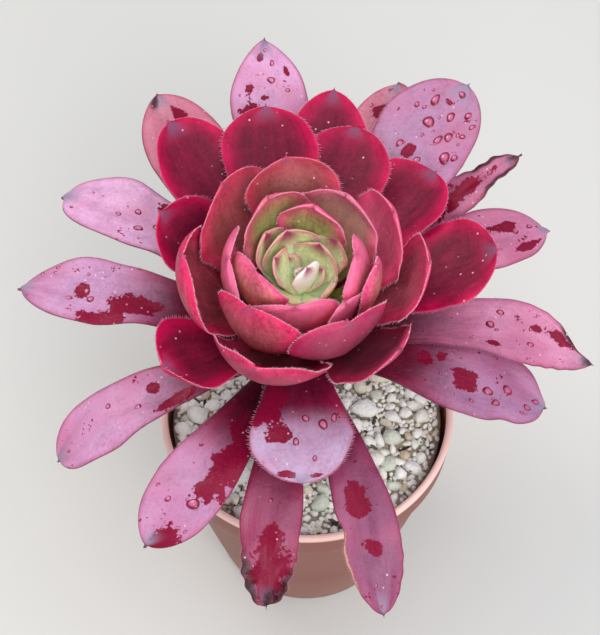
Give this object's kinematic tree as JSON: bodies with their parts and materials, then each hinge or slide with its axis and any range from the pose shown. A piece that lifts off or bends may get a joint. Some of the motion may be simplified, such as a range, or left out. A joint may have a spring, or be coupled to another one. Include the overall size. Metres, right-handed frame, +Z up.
{
  "type": "potted aeonium",
  "caption": "Potted aeonium: a wine-red succulent rosette of cupped, fringed leaves on a short stem, growing in a tapered plastic pot dressed with pale grit.",
  "frame": {"origin": "centre of the pot's flat underside", "axes": "+Z up through the pot and the stem, +X to the right and +Y to the back as the plant is seen from its front"},
  "size_m": [0.1833, 0.1854, 0.1874],
  "materials": {
    "pot_plastic": "terracotta-coloured moulded plastic, satin",
    "potting_soil": "moist, fibrous potting soil",
    "pumice_grit": "dry, porous pale stones",
    "woody_stem": "grey-brown stem with leaf scars",
    "heart_leaf": "young pale green leaf skin with pink edges",
    "outer_leaf": "old leaf skin, mauve sheen over crimson, wet in patches",
    "middle_leaf": "waxy wine-red leaf skin with a pale fringe",
    "inner_leaf": "waxy magenta and olive leaf skin with a pale fringe",
    "core_leaf": "young leaf skin, pink edge over green"
  },
  "bodies": {
    "root": {"pot": "pot_plastic", "soil": "potting_soil", "grit": "pumice_grit", "stem": "woody_stem", "heart": "heart_leaf", "outer_leaf_1": "outer_leaf", "outer_leaf_2": "outer_leaf", "outer_leaf_3": "outer_leaf", "outer_leaf_4": "outer_leaf", "outer_leaf_5": "outer_leaf", "outer_leaf_6": "outer_leaf", "outer_leaf_7": "outer_leaf", "outer_leaf_8": "outer_leaf", "outer_leaf_9": "outer_leaf", "outer_leaf_10": "outer_leaf", "outer_leaf_11": "outer_leaf", "outer_leaf_12": "outer_leaf", "outer_leaf_13": "outer_leaf", "outer_leaf_14": "outer_leaf", "middle_leaf_1": "middle_leaf", "middle_leaf_2": "middle_leaf", "middle_leaf_3": "middle_leaf", "middle_leaf_4": "middle_leaf", "middle_leaf_5": "middle_leaf", "middle_leaf_6": "middle_leaf", "middle_leaf_7": "middle_leaf", "middle_leaf_8": "middle_leaf", "middle_leaf_9": "middle_leaf", "middle_leaf_10": "middle_leaf", "inner_leaf_1": "inner_leaf", "inner_leaf_2": "inner_leaf", "inner_leaf_3": "inner_leaf", "inner_leaf_4": "inner_leaf", "inner_leaf_5": "inner_leaf", "inner_leaf_6": "inner_leaf", "inner_leaf_7": "inner_leaf", "inner_leaf_8": "inner_leaf", "inner_leaf_9": "inner_leaf", "core_leaf_1": "core_leaf", "core_leaf_2": "core_leaf", "core_leaf_3": "core_leaf", "core_leaf_4": "core_leaf", "core_leaf_5": "core_leaf", "core_leaf_6": "core_leaf", "core_leaf_7": "core_leaf", "core_leaf_8": "core_leaf"}
  },
  "joints": []
}
